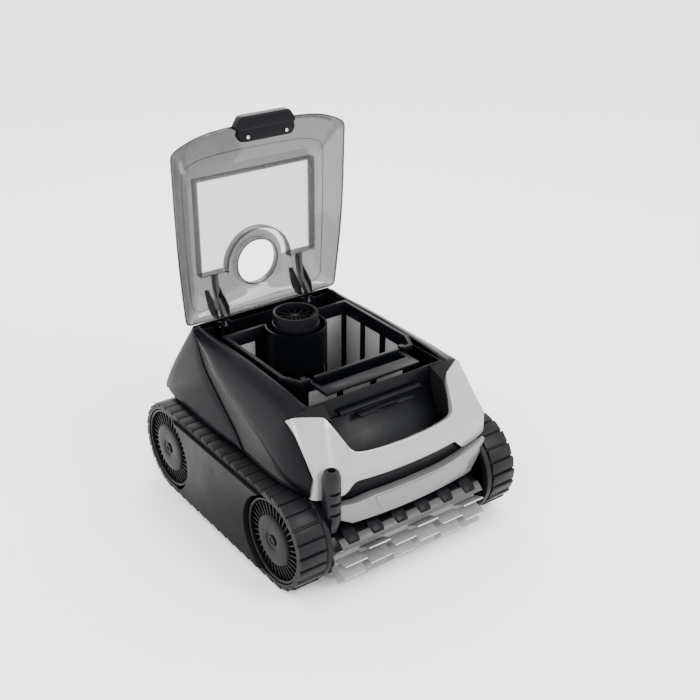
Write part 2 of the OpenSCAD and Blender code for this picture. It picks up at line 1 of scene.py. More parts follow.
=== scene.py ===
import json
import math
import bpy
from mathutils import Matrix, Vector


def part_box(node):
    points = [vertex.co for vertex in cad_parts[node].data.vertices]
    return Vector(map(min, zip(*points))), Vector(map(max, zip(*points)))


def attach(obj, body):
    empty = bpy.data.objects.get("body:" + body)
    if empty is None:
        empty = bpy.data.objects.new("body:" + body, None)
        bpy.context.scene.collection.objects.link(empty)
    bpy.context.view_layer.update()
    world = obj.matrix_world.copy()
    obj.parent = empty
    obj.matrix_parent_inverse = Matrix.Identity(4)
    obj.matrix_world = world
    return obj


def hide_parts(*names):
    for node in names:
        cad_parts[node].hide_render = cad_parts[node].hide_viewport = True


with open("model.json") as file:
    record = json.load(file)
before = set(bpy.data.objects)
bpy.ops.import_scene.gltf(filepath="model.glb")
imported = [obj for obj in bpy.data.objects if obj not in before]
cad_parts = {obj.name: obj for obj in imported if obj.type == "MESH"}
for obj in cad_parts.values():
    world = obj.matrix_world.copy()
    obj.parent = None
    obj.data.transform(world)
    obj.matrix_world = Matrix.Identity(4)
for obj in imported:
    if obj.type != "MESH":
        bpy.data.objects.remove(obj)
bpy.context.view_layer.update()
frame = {"nodes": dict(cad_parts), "record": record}

# %% [markdown]
# A tracked pool cleaner is a stack of mouldings: a charcoal casing, a silver
# front, a clear lid, and rubber tracks on each side. The frame that was just
# loaded holds every part at its true place and size. This lesson starts with
# the camera, then the finishes, and then goes round the machine part by part.

MM = 0.001
record = frame["record"]
BODY_OF = {node: body for body, nodes in record["behaviour"]["bodies"].items() for node in nodes}
SLOT_OF = {part["node"]: part["material_slot"] for part in record["subparts"]}


def middle(node):
    low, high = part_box(node)
    return (low + high) / 2


axle_mid_y = (middle("wheel_front_left").y + middle("wheel_rear_left").y) / 2
half_base = (middle("wheel_rear_left").y - middle("wheel_front_left").y) / 2
print("axles are", round(2 * half_base, 4), "m apart, mid-point at y =", round(axle_mid_y, 4))

# %% [markdown]
# The camera looks down on the front corner from a short distance, so the near
# track looks larger than the far one. Its place is given from the axles' mid-
# point, because that is where the whole machine is measured from.

# %% Camera
CAMERA_FROM_AXLES = Vector((-0.9262, -1.3260, 1.0901))
CAMERA_TURN = math.radians(-36.4)
CAMERA_TILT = math.radians(26.9)
CAMERA_ROLL = math.radians(0.3)
CAMERA_LENS = 57.9


def make_camera():
    data = bpy.data.cameras.new("view_camera")
    data.lens = CAMERA_LENS
    data.sensor_width = 36.0
    data.clip_start = 0.05
    camera = bpy.data.objects.new("view_camera", data)
    bpy.context.scene.collection.objects.link(camera)
    camera.location = CAMERA_FROM_AXLES + Vector((0, axle_mid_y, 0))
    aim = Matrix.Rotation(CAMERA_TURN, 4, "Z") @ Matrix.Rotation(math.pi / 2 - CAMERA_TILT, 4, "X")
    camera.rotation_euler = (aim @ Matrix.Rotation(CAMERA_ROLL, 4, "Z")).to_euler()
    bpy.context.scene.camera = camera
    return camera


print("camera at", tuple(round(v, 3) for v in make_camera().location))

# %% [markdown]
# A product on a white table needs two things from its light: a bright, even
# surround, so that dark plastic gets long soft reflections, and one stronger
# lamp from the front right, so that the silver front has a light and a dark
# side. Two weaker lamps fill the left side and the back. The floor is plain
# and pale, and isn't part of the object.

# %% Light and floor
def deselect():
    if bpy.context.object and bpy.context.object.mode != "OBJECT":
        bpy.ops.object.mode_set(mode="OBJECT")
    bpy.ops.object.select_all(action="DESELECT")


def area_light(name, place, target, size, power):
    data = bpy.data.lights.new(name, "AREA")
    data.shape = "RECTANGLE"
    data.size, data.size_y = size
    data.energy = power
    lamp = bpy.data.objects.new(name, data)
    bpy.context.scene.collection.objects.link(lamp)
    lamp.location = place
    lamp.rotation_euler = (Vector(target) - Vector(place)).to_track_quat("-Z", "Y").to_euler()


def make_world(strength):
    world = bpy.data.worlds.new("studio")
    bpy.context.scene.world = world
    world.use_nodes = True
    surround = world.node_tree.nodes["Background"]
    surround.inputs["Color"].default_value = (1, 1, 1, 1)
    surround.inputs["Strength"].default_value = strength


def make_floor():
    deselect()
    bpy.ops.mesh.primitive_plane_add(size=12, location=(0, 0, -0.0005))
    floor = bpy.context.object
    floor.name = "studio_floor"
    finish = bpy.data.materials.new("studio_floor")
    finish.use_nodes = True
    shader = finish.node_tree.nodes["Principled BSDF"]
    shader.inputs["Base Color"].default_value = (0.92, 0.92, 0.92, 1)
    shader.inputs["Roughness"].default_value = 0.9
    shader.inputs["Specular IOR Level"].default_value = 0.1
    floor.data.materials.append(finish)


make_world(3.0)
make_floor()
area_light("key", (0.9, -1.9, 1.7), (0, -0.1, 0.2), (0.9, 0.9), 46)
area_light("side", (-1.5, -1.1, 1.6), (0, -0.05, 0.2), (0.5, 0.9), 16)
area_light("back", (0.6, 1.6, 1.6), (0, 0, 0.3), (1.4, 0.6), 18)
print("three lamps, a white surround and a floor")

# %% [markdown]
# Every finish is a small node tree. A fine noise roughens the surface the way
# a mould does, and a slow one varies the gloss a little, because no moulding
# is evenly shiny. Numbers that don't vary stay on the shader itself.

# %% Finish helpers
def fresh_material(name):
    made = bpy.data.materials.new(name)
    made.use_nodes = True
    return made, made.node_tree, made.node_tree.nodes["Principled BSDF"]


def add_node(tree, kind, settings=None, inputs=None):
    made = tree.nodes.new(kind)
    for key, value in (settings or {}).items():
        setattr(made, key, value)
    for key, value in (inputs or {}).items():
        made.inputs[key].default_value = value
    return made


def noise(tree, scale, detail=3.0, stretch=(1, 1, 1)):
    place = add_node(tree, "ShaderNodeTexCoord")
    turn = add_node(tree, "ShaderNodeMapping", inputs={"Scale": stretch})
    tree.links.new(place.outputs["Object"], turn.inputs["Vector"])
    made = add_node(tree, "ShaderNodeTexNoise", inputs={"Scale": scale, "Detail": detail})
    tree.links.new(turn.outputs["Vector"], made.inputs["Vector"])
    return made.outputs["Fac"]


def spread(tree, source, low, high):
    made = add_node(tree, "ShaderNodeMapRange",
                    inputs={"From Min": 0.3, "From Max": 0.7, "To Min": low, "To Max": high})
    tree.links.new(source, made.inputs["Value"])
    return made.outputs["Result"]


def tinted(tree, source, dark, light):
    ramp = add_node(tree, "ShaderNodeValToRGB")
    ramp.color_ramp.elements[0].position = 0.3
    ramp.color_ramp.elements[1].position = 0.7
    ramp.color_ramp.elements[0].color = (*dark, 1)
    ramp.color_ramp.elements[1].color = (*light, 1)
    tree.links.new(source, ramp.inputs["Fac"])
    return ramp.outputs["Color"]


def bumped(tree, shader, source, strength, height):
    made = add_node(tree, "ShaderNodeBump", inputs={"Strength": strength, "Distance": height})
    tree.links.new(source, made.inputs["Height"])
    tree.links.new(made.outputs["Normal"], shader.inputs["Normal"])


def moulded(name, colour, rough, grain=1500, depth=0.00012, vary=0.12, metallic=0.0, strength=0.35, shine=0.3):
    made, tree, shader = fresh_material(name)
    dark = [c * (1 - vary) for c in colour]
    light = [min(1.0, c * (1 + vary)) for c in colour]
    slow = noise(tree, 9, 4)
    tree.links.new(tinted(tree, slow, dark, light), shader.inputs["Base Color"])
    tree.links.new(spread(tree, noise(tree, 26, 3), rough - 0.05, rough + 0.06), shader.inputs["Roughness"])
    bumped(tree, shader, noise(tree, grain, 2), strength, depth)
    shader.inputs["Metallic"].default_value = metallic
    shader.inputs["Specular IOR Level"].default_value = shine
    return made


# %% [markdown]
# Silver paint is a clear coat over tiny flakes. Cells from a Voronoi texture
# stand for the flakes: each has its own brightness, so the paint glitters
# very slightly, and the coat gives the sharper reflection on top.

# %% Silver paint
def silver_paint(name, colour, rough):
    made, tree, shader = fresh_material(name)
    place = add_node(tree, "ShaderNodeTexCoord")
    flakes = add_node(tree, "ShaderNodeTexVoronoi", inputs={"Scale": 2400})
    tree.links.new(place.outputs["Object"], flakes.inputs["Vector"])
    bright = add_node(tree, "ShaderNodeSeparateColor")
    tree.links.new(flakes.outputs["Color"], bright.inputs["Color"])
    light = [min(1.0, c * 1.12) for c in colour]
    dark = [c * 0.92 for c in colour]
    tree.links.new(tinted(tree, bright.outputs["Red"], dark, light), shader.inputs["Base Color"])
    tree.links.new(spread(tree, noise(tree, 14, 3), rough - 0.04, rough + 0.05), shader.inputs["Roughness"])
    bumped(tree, shader, noise(tree, 1300, 2), 0.12, 0.00006)
    shader.inputs["Metallic"].default_value = 0.35
    shader.inputs["Coat Weight"].default_value = 0.45
    shader.inputs["Coat Roughness"].default_value = 0.12
    return made


# %% [markdown]
# The smoked lid is thin, so it is drawn as a see-through sheet: mostly open
# where it is seen square on, and closer to solid where it is seen edge on.
# Layer Weight gives that, and it only changes how much shows through.

# %% Smoked clear plastic
def smoked_clear(name, colour, face_alpha, edge_alpha):
    made, tree, shader = fresh_material(name)
    weight = add_node(tree, "ShaderNodeLayerWeight", inputs={"Blend": 0.35})
    ramp = add_node(tree, "ShaderNodeMapRange", inputs={"To Min": face_alpha, "To Max": edge_alpha})
    tree.links.new(weight.outputs["Facing"], ramp.inputs["Value"])
    tree.links.new(ramp.outputs["Result"], shader.inputs["Alpha"])
    dark = [c * 0.85 for c in colour]
    tree.links.new(tinted(tree, noise(tree, 7, 2), dark, colour), shader.inputs["Base Color"])
    tree.links.new(spread(tree, noise(tree, 40, 3), 0.05, 0.12), shader.inputs["Roughness"])
    bumped(tree, shader, noise(tree, 30, 2), 0.08, 0.0003)
    shader.inputs["IOR"].default_value = 1.5
    return made


# %% [markdown]
# The basket's windows are a woven net. Two crossed waves make threads and
# holes at the real spacing, a little under a millimetre.

# %% Filter net
def filter_net(name, colour):
    made, tree, shader = fresh_material(name)
    place = add_node(tree, "ShaderNodeTexCoord")
    heights = []
    for axis in ("X", "Z"):
        wave = add_node(tree, "ShaderNodeTexWave", {"bands_direction": axis}, {"Scale": 190})
        tree.links.new(place.outputs["Object"], wave.inputs["Vector"])
        heights.append(wave.outputs["Fac"])
    both = add_node(tree, "ShaderNodeMath", {"operation": "MAXIMUM"})
    tree.links.new(heights[0], both.inputs[0])
    tree.links.new(heights[1], both.inputs[1])
    dark = [c * 0.55 for c in colour]
    tree.links.new(tinted(tree, both.outputs["Value"], dark, colour), shader.inputs["Base Color"])
    bumped(tree, shader, both.outputs["Value"], 0.6, 0.0004)
    shader.inputs["Roughness"].default_value = 0.7
    return made


# %% [markdown]
# The colours below are the plastic's own, and they are much darker than they
# look: the bright surround lifts every dark surface. Shine is kept low on the
# big dark panels for the same reason.

# %% The finishes, one for each slot of the record
FINISH = {
    "dark_shell": moulded("charcoal_casing", (0.0013, 0.0015, 0.0025), 0.27,
                          depth=0.00002, shine=0.07, strength=0.15),
    "black_plastic": moulded("black_moulding", (0.0016, 0.0019, 0.0027), 0.33, shine=0.08),
    "grey_panel": moulded("grey_moulding", (0.0056, 0.0056, 0.0061), 0.36,
                          depth=0.00004, shine=0.05, strength=0.2),
    "silver_front": silver_paint("silver_front_paint", (0.235, 0.231, 0.231), 0.30),
    "silver_bumper": silver_paint("silver_bumper_paint", (0.112, 0.110, 0.110), 0.34),
    "boot_rubber": moulded("boot_rubber", (0.0022, 0.0025, 0.0035), 0.34,
                           grain=1100, depth=0.0001, shine=0.18),
    "track_rubber": moulded("track_rubber", (0.0036, 0.0036, 0.0045), 0.42,
                            grain=1200, depth=0.0002, vary=0.25, shine=0.12),
    "wheel_plastic": moulded("wheel_plastic", (0.0020, 0.0022, 0.0030), 0.3, shine=0.14),
    "nylon": moulded("natural_nylon", (0.3, 0.29, 0.27), 0.45),
    "steel": moulded("stainless", (0.35, 0.35, 0.36), 0.22, metallic=1.0),
    "motor_can": moulded("motor_can", (0.2, 0.2, 0.21), 0.35, metallic=0.9),
    "unit_plastic": moulded("unit_plastic", (0.02, 0.02, 0.023), 0.5),
    "board": moulded("circuit_board", (0.006, 0.06, 0.025), 0.4),
    "smoked_clear": smoked_clear("smoked_lid", (0.022, 0.0225, 0.025), 0.62, 0.96),
    "mesh": filter_net("filter_net", (0.20, 0.202, 0.207)),
    "brush_rubber": moulded("brush_rubber", (0.150, 0.150, 0.154), 0.3, vary=0.3, shine=0.25),
}
LID_RIB = smoked_clear("smoked_rib", (0.010, 0.0105, 0.012), 0.55, 0.97)
LID_ARM = smoked_clear("smoked_arm", (0.0045, 0.005, 0.006), 0.85, 0.98)
LID_BEAD = smoked_clear("smoked_edge", (0.003, 0.003, 0.004), 0.90, 0.99)
BLADE_GREY = moulded("blade_insert", (0.0108, 0.0108, 0.0117), 0.28,
                     depth=0.00003, shine=0.12, strength=0.2)
WHEEL_HUB = moulded("wheel_hub", (0.0050, 0.0050, 0.0056), 0.3, shine=0.07)
# pale finish for the brush blades' tips: a painted highlight where the blade edges catch the light
TIP_PAINTED_HIGHLIGHT = moulded("brush_tip_painted_highlight", (0.42, 0.42, 0.42), 0.35, vary=0.08, shine=0.4)
WIPER_GREY = moulded("wiper_grey", (0.030, 0.030, 0.031), 0.35, vary=0.1, shine=0.3)
print(len(FINISH), "finishes")

# %% [markdown]
# A few steps come back for every piece: choose it, work on its whole mesh in
# edit mode, apply a modifier, ease its sharp edges, or join several parts.
# The last step is always the same too. It gives the piece its finish, its
# moving body and the frame's parts that it stands for.

# %% Working helpers
OUTWARD = (bpy.ops.mesh.normals_make_consistent, {"inside": False})


def choose(piece):
    deselect()
    piece.select_set(True)
    bpy.context.view_layer.objects.active = piece


def edit_all(*steps):
    """Runs edit-mode operators on the whole chosen mesh, one after another."""
    bpy.ops.object.mode_set(mode="EDIT")
    for operator, settings in steps:
        bpy.ops.mesh.select_all(action="SELECT")
        operator(**settings)
    bpy.ops.object.mode_set(mode="OBJECT")


def apply_modifier(piece, name, kind, **settings):
    choose(piece)
    made = piece.modifiers.new(name, kind)
    for key, value in settings.items():
        setattr(made, key, value)
    bpy.ops.object.modifier_apply(modifier=name)


def eased(piece, width, segments, angle):
    """Rounds the edges that turn by more than the angle, by a width in millimetres."""
    apply_modifier(piece, "edges", "BEVEL", width=width * MM, segments=segments,
                   limit_method="ANGLE", angle_limit=math.radians(angle))


def placed_copy(master, name, place):
    """A copy with its own mesh, moved inside that mesh."""
    one = bpy.data.objects.new(name, master.data.copy())
    bpy.context.scene.collection.objects.link(one)
    one.data.transform(place)
    return one


def joined(parts, name=None):
    choose(parts[0])
    for part in parts:
        part.select_set(True)
    bpy.ops.object.join()
    parts[0].name = name or parts[0].name
    return parts[0]


def finished(piece, body, slot_name, nodes, finish=None, smooth=30, keep=False):
    if not keep:
        piece.data.materials.clear()
        piece.data.materials.append(finish or FINISH[slot_name])
    choose(piece)
    bpy.ops.object.shade_smooth_by_angle(angle=math.radians(smooth))
    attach(piece, body)
    if nodes:
        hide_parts(*nodes)
    print(piece.name, len(piece.data.polygons), "faces")
    return piece


# %% [markdown]
# A real moulding has no knife-sharp edges. The quickest honest way to soften a
# part whose shape is already right is to copy its mesh, merge the loose
# triangles, dissolve the flat ones together, and bevel only the sharp edges.
# The copy stands for the frame's part and rides on the same body.

# %% Softened copies of the frame's parts
SHARP = 32  # degrees: an edge that turns more than this is bevelled and left unsmoothed


def softened(node, width, finish=None):
    piece = placed_copy(frame["nodes"][node], node + "_moulding", Matrix.Identity(4))
    piece.data.materials.clear()
    piece.data.materials.append(finish or FINISH[SLOT_OF[node]])
    choose(piece)
    edit_all((bpy.ops.mesh.remove_doubles, {"threshold": 0.00002}),
             (bpy.ops.mesh.dissolve_limited, {"angle_limit": math.radians(0.6)}))
    eased(piece, width, 2, SHARP)
    return finished(piece, BODY_OF[node], SLOT_OF[node], [node], smooth=SHARP, keep=True)


EDGE = {
    "front_bumper": 2.0, "badge_plate": 0.5, "slot_band": 1.5,
    "hatch_liner": 1.0, "handle_scoop": 1.2,
    "front_ledge": 2.0, "catch_plate": 1.0, "cable_boot": 0.8, "boot_neck": 0.5,
    "side_cover_left": 1.5, "side_cover_right": 1.5,
    "outlet_column": 0.8, "outlet_grille": 0.4, "hinge_brackets": 0.8,
    "latch_screws": 0.4, "basket_frame": 0.8, "basket_handle": 0.8,
    "brush_core": 0.8, "basket_screens": 0.2, "lower_chassis": 1.5,
}
for node, width in EDGE.items():
    softened(node, width)
softened("lid_frame", 1.0, finish=LID_RIB)
softened("lid_arms", 0.8, finish=LID_ARM)
print(len(EDGE) + 2, "softened mouldings")

# %% [markdown]
# The casing's creases are long sweeping curves, which a pile of flat corner
# points can't give. So each crease is a smooth line through a few chosen
# points, and the skin is stretched between neighbouring creases as rows of
# quads. Where two strips meet at an angle, a small bevel catches the light.

# %% Smooth lines and strips
MERGE = 0.0001      # metres: points closer than this are one
CURVE_STEPS = 16    # straight steps between two given points of a line


def at(x, y, z):
    return Vector((x * MM, y * MM + axle_mid_y, z * MM))


def smooth_line(points, count):
    """count points, evenly spaced, on a curve through the given ones."""
    spots = [Vector(p) for p in points]
    spots = [2 * spots[0] - spots[1]] + spots + [2 * spots[-1] - spots[-2]]
    fine = []
    for i in range(1, len(spots) - 2):
        a, b, c, d = spots[i - 1:i + 3]
        for k in range(CURVE_STEPS):
            t = k / CURVE_STEPS
            fine.append(0.5 * (2 * b + (c - a) * t + (2 * a - 5 * b + 4 * c - d) * t * t
                               + (3 * b - a - 3 * c + d) * t ** 3))
    fine.append(spots[-2])
    reach = [0.0]
    for a, b in zip(fine, fine[1:]):
        reach.append(reach[-1] + (b - a).length)
    line, j = [], 0
    for k in range(count):
        goal = reach[-1] * k / (count - 1)
        while j < len(fine) - 2 and reach[j + 1] < goal:
            j += 1
        part = (goal - reach[j]) / max(reach[j + 1] - reach[j], 1e-9)
        line.append(fine[j].lerp(fine[j + 1], min(part, 1.0)))
    return line


def rows_between(first, last, steps, bulge=(0, 0, 0)):
    """Rows from one line to another, pushed out in the middle by bulge."""
    rows = []
    for k in range(steps + 1):
        t = k / steps
        push = Vector(bulge) * (4 * t * (1 - t))
        rows.append([a.lerp(b, t) + push for a, b in zip(first, last)])
    return rows


def skin(name, grids, mirrored=True):
    """One mesh from grids of points in millimetres, mirrored across the middle."""
    verts, faces = [], []
    for grid in grids:
        width = len(grid[0])
        base = len(verts)
        for row in grid:
            verts.extend(at(*p) for p in row)
        for r in range(len(grid) - 1):
            for c in range(width - 1):
                low = base + r * width + c
                faces.append((low, low + 1, low + width + 1, low + width))
    mesh = bpy.data.meshes.new(name)
    mesh.from_pydata(verts, [], faces)
    piece = bpy.data.objects.new(name, mesh)
    bpy.context.scene.collection.objects.link(piece)
    choose(piece)
    if mirrored:
        apply_modifier(piece, "other_side", "MIRROR")
    edit_all((bpy.ops.mesh.remove_doubles, {"threshold": MERGE}),
             (bpy.ops.mesh.dissolve_degenerate, {"threshold": MERGE}), OUTWARD)
    return piece


# %% [markdown]
# The casing is one moulding. From the hatch outwards it has a narrow rim, a
# step, a sloping shoulder, a ridge, then the side panel, and behind and below
# that the flat quarter panel. The blade between the two creases is sunk a few
# millimetres, and it is a lighter grey insert.

# %% Casing
SAMPLES, TOP_SAMPLES, LOWER_SAMPLES = 36, 28, 24
BLADE_SINK = (-2.6, 0, -0.8)
ridge_to_pillar = [(140, 178, 276), (149, 140, 271), (153, 80, 269.8), (156, 0, 268), (159, -80, 265.3),
                   (160, -138.5, 262.5)]
pillar_fall = [(160, -138.5, 262.5), (163.5, -172, 228), (166.5, -203, 193.5)]
upper_crease = [(140, 178, 276), (151.5, 124, 258), (161, 78, 244.5), (170, -12, 223), (176, -82, 203),
                (180, -135, 183), (178, -170, 171), (168.5, -201.5, 165)]
lower_crease = [(138, 181, 277.5), (150, 145, 257), (161, 109, 239), (172, 46, 214), (180, -11, 189),
                (184.5, -42, 169)]
front_foot = [(184.5, -42, 169), (184.5, -100, 165.5), (182, -150, 165), (168.5, -201.5, 165)]
back_corner = [(136.5, 184, 279), (147, 200, 245), (160, 219, 202), (170, 233, 161)]
side_foot = [(170, 233, 161), (182, 190, 164), (186, 120, 165), (187, 40, 165), (184.5, -42, 169)]

ridge_top = smooth_line(ridge_to_pillar, TOP_SAMPLES)
ridge_line = ridge_top + smooth_line(pillar_fall, SAMPLES - TOP_SAMPLES + 1)[1:]
upper_line = smooth_line(upper_crease, SAMPLES)
upper_sunk = [p + Vector(BLADE_SINK) * min(1, 6 * k / SAMPLES, 6 * (SAMPLES - 1 - k) / SAMPLES)
              for k, p in enumerate(upper_line)]
lower_line = smooth_line(lower_crease, LOWER_SAMPLES)
blade_foot = lower_line[:-1] + smooth_line(front_foot, SAMPLES - LOWER_SAMPLES + 1)
lower_sunk = [p + Vector(BLADE_SINK) * min(1, k / 6) for k, p in enumerate(blade_foot)]
corner_line = smooth_line(back_corner, 10) + smooth_line(side_foot, 15)[1:]
HATCH_EDGE = [(130.3, 181.2, 279.4), (130.3, 100, 281.3), (130.3, 20, 282.4), (130.3, -60, 279.5),
              (130.3, -111, 275.8), (130.3, -141, 270.5)]
hatch_line = smooth_line(HATCH_EDGE, TOP_SAMPLES)
rim_line = [a.lerp(b, 0.22) + Vector((0, 0, 2.2)) for a, b in zip(hatch_line, ridge_top)]
step_line = [a.lerp(b, 0.28) + Vector((0, 0, -0.6)) for a, b in zip(hatch_line, ridge_top)]


BACK_COLUMNS = 6
BACK_BOW = 3.0


def back_row(p):
    """A row across the bowed back, from the middle plane to a point of the corner line."""
    shares = [k / BACK_COLUMNS for k in range(BACK_COLUMNS + 1)]
    return [Vector((p.x * t, p.y + BACK_BOW * (1 - t ** 2), p.z)) for t in shares]


back = [back_row(p) for p in corner_line[:10]]
hatch_corner = HATCH_EDGE[0]
back_top = [[Vector((hatch_corner[0] * k / BACK_COLUMNS, *hatch_corner[1:])) for k in range(BACK_COLUMNS + 1)],
            back[0]]
foot_line = corner_line[9:] + smooth_line(front_foot, 13)[1:]
foot_lip = [p + Vector((-3.0, -1.0 if p.y > 0 else 1.0, -7.0)) for p in foot_line]
back_lip = [back[-1], [p + Vector((0, -2.0, -8.0)) for p in back[-1]]]
casing = skin("casing_skin", [
    [hatch_line, rim_line],
    [rim_line, step_line],
    rows_between(step_line, ridge_top, 3),
    rows_between(ridge_line, upper_line, 5, (1.6, 0, 0.8)),
    [upper_line, upper_sunk],
    rows_between(lower_line, corner_line, 5, (0.8, 0.6, 0)),
    [lower_sunk[:LOWER_SAMPLES], lower_line],
    back_top, back, back_lip,
    [foot_line, foot_lip],
])
apply_modifier(casing, "wall", "SOLIDIFY", thickness=0.0024, offset=-1.0, use_even_offset=False)
eased(casing, 0.7, 2, 24)
finished(casing, "root", "dark_shell", ["upper_casing"], smooth=28)

blade = skin("blade_insert", [rows_between(upper_sunk, lower_sunk, 6, (-1.2, 0, -0.4))])
apply_modifier(blade, "wall", "SOLIDIFY", thickness=0.002, offset=-1.0, use_even_offset=False)
finished(blade, "root", "grey_panel", ["side_blade_left", "side_blade_right"],
         finish=BLADE_GREY, smooth=40)

# %% [markdown]
# The silver front is one closed band. Its outline is a loop of five points
# that is carried from the middle to the outer end: along the carrying bar,
# up the pillar, and out to the corner. A crease runs the whole way across.

# %% Silver front
top_points = [(0, -217, 211), (40, -216.2, 211.8), (72, -213.5, 213.6), (90, -210.5, 216),
              (98, -206, 221.5), (103, -194, 234), (109, -180, 248), (114, -169, 259), (118, -165.6, 263),
              (132, -158, 264.2), (148, -149, 265), (158, -143.6, 265), (162.8, -141.5, 261.5)]
crease_points = [(0, -225.5, 186), (40, -224.6, 186.4), (75, -222, 187.6), (97, -219.2, 188.8),
                 (108, -217.6, 189.6), (117, -216.2, 190.2), (125, -214.9, 190.7), (132, -213.7, 191.2),
                 (139, -212.3, 191.6), (146, -210.9, 192), (153, -209.4, 192.3), (159, -208.1, 192.5),
                 (163.6, -206.6, 192.4)]
foot_points = [(0, -222, 168), (40, -221.4, 168.5), (72, -219.5, 169.6), (90, -217.6, 170.6),
               (98, -216.4, 168.5), (104, -215.6, 162), (110, -214.8, 155), (116, -213.6, 151.4),
               (126, -212, 151.8), (138, -210.2, 152.8), (150, -208, 153.8), (160, -206, 155.5),
               (167.5, -203.6, 159)]
FRONT_SAMPLES = 52


def even_columns(points, count):
    """Samples spread evenly by point number, so that three lines stay in step."""
    line = []
    for k in range(count):
        t = k / (count - 1) * (len(points) - 1)
        i = min(int(t), len(points) - 2)
        line.append(Vector(points[i]).lerp(Vector(points[i + 1]), t - i))
    for _ in range(3):
        line = [line[0]] + [(a + 2 * b + c) / 4 for a, b, c in zip(line, line[1:], line[2:])] + [line[-1]]
    return line


top_line = even_columns(top_points, FRONT_SAMPLES)
crease_line = even_columns(crease_points, FRONT_SAMPLES)
foot_edge = even_columns(foot_points, FRONT_SAMPLES)
top_back = [p + Vector((0, 9.5, -5.0)) for p in top_line]
foot_back = [p + Vector((0, 9.0, 0)) for p in foot_edge]
crease_end_back = crease_line[-1] + Vector((-3, 8, 0))
end_grid = [[top_line[-1], crease_line[-1], foot_edge[-1]], [top_back[-1], crease_end_back, foot_back[-1]]]
front = skin("silver_front", [
    rows_between(top_line, crease_line, 6, (0, -0.7, 0.3)),
    rows_between(crease_line, foot_edge, 3, (0, -0.3, 0)),
    [foot_edge, foot_back],
    rows_between(foot_back, top_back, 4),
    [top_back, top_line],
    end_grid,
])
boot_low, boot_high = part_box("cable_boot")
boot_mid = middle("cable_boot")
boot_radius = (boot_high.x - boot_low.x) / 2
BOOT_CLEARANCE = 0.0016
eased(front, 1.3, 3, 19)
deselect()
bpy.ops.mesh.primitive_cylinder_add(vertices=48, radius=boot_radius + BOOT_CLEARANCE, depth=0.16,
                                    location=(boot_mid.x, boot_mid.y, boot_high.z - 0.072))
cutter = bpy.context.object
apply_modifier(front, "boot_recess", "BOOLEAN", object=cutter, operation="DIFFERENCE", solver="EXACT")
bpy.data.objects.remove(cutter)
finished(front, "root", "silver_front", ["front_fascia"], smooth=22)

# %% [markdown]
# A track is a belt with one pad after another. The belt is a cross-section
# swept round a path of two straights and two half circles, and the pad is
# modelled once: a cube, tapered towards its trailing edge and rounded.

# %% Tracks
wheel_z = middle("wheel_rear_left").z
tread_r = wheel_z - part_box("track_left")[0].z
STRAIGHT_PADS, ROUND_PADS = 14, 11


def track_spot(travel, radius):
    """A point of the belt's path in Y and Z, and its outward turn. Travel runs from 0 to 1."""
    step = travel * 2 * (STRAIGHT_PADS + ROUND_PADS)
    span = 2 * half_base
    if step < STRAIGHT_PADS:
        return (half_base - span * step / STRAIGHT_PADS, wheel_z + radius), math.pi / 2
    step -= STRAIGHT_PADS
    if step < ROUND_PADS:
        turn = math.pi / 2 + math.pi * step / ROUND_PADS
        return (-half_base + radius * math.cos(turn), wheel_z + radius * math.sin(turn)), turn
    step -= ROUND_PADS
    if step < STRAIGHT_PADS:
        return (-half_base + span * step / STRAIGHT_PADS, wheel_z - radius), -math.pi / 2
    step -= STRAIGHT_PADS
    turn = -math.pi / 2 + math.pi * step / ROUND_PADS
    return (half_base + radius * math.cos(turn), wheel_z + radius * math.sin(turn)), turn


BELT_SECTION = [(152.2, 68.8), (152.2, 76.5), (153.5, 77.6), (160.5, 77.6), (162.5, 75.2), (164, 74.6),
                (209.4, 74.6), (209.9, 74.0), (209.9, 69.2), (209.4, 68.8)]
BELT_STEPS = 200
PAD_COUNT = 2 * (STRAIGHT_PADS + ROUND_PADS)
PAD_INNER_X, PAD_OUTER_X = 0.1640, 0.2098
PAD_LONG, PAD_LOW, PAD_HIGH = 0.0198, 0.0738, tread_r - 0.0001
PAD_TAPER, PAD_TRAILING_DROP = 0.92, 0.0022


def belt(side, name):
    rings = []
    for x, radius in BELT_SECTION + BELT_SECTION[:1]:
        ring = []
        for k in range(BELT_STEPS + 1):
            (y, z), _ = track_spot((k % BELT_STEPS) / BELT_STEPS, radius * MM)
            ring.append(Vector((side * x, y / MM, z / MM)))
        rings.append(ring)
    return skin(name, [rings], mirrored=False)


def pad_master(side):
    """One pad with its outer face up, at the wheel's height above the path's own line."""
    deselect()
    bpy.ops.mesh.primitive_cube_add(size=1, location=(0, 0, 0))
    pad = bpy.context.object
    for v in pad.data.vertices:
        outer, trailing = v.co.z > 0, v.co.y < 0
        v.co.x = side * (PAD_INNER_X if v.co.x < 0 else PAD_OUTER_X)
        v.co.y *= PAD_LONG * (PAD_TAPER if outer else 1.0)
        v.co.z = PAD_HIGH - (PAD_TRAILING_DROP if trailing else 0.0) if outer else PAD_LOW
    eased(pad, 0.9, 2, 30)
    return pad


def track(side, name, node):
    loop_belt = belt(side, name)
    master = pad_master(side)
    pads = []
    for k in range(PAD_COUNT):
        (y, z), turn = track_spot((k + 0.5) / PAD_COUNT, 0.0)
        # the pad was drawn with its outer face up, so it is turned from up to outward
        place = Matrix.Translation((0, y + axle_mid_y, z)) @ Matrix.Rotation(turn - math.pi / 2, 4, "X")
        pads.append(placed_copy(master, "pad", place))
    bpy.data.objects.remove(master)
    joined([loop_belt] + pads)
    edit_all(OUTWARD)
    return finished(loop_belt, "root", "track_rubber", [node], smooth=32)


track(-1, "ribbed_track_left", "track_left")
track(1, "ribbed_track_right", "track_right")

# %% [markdown]
# Each brush section is a ring of rubber blades round the roller. A blade is a
# thin plate that is thicker at its root and leans back a little at its tip.
# It is modelled once and copied round, and every other section is turned by
# half a blade, so that the rows are staggered.

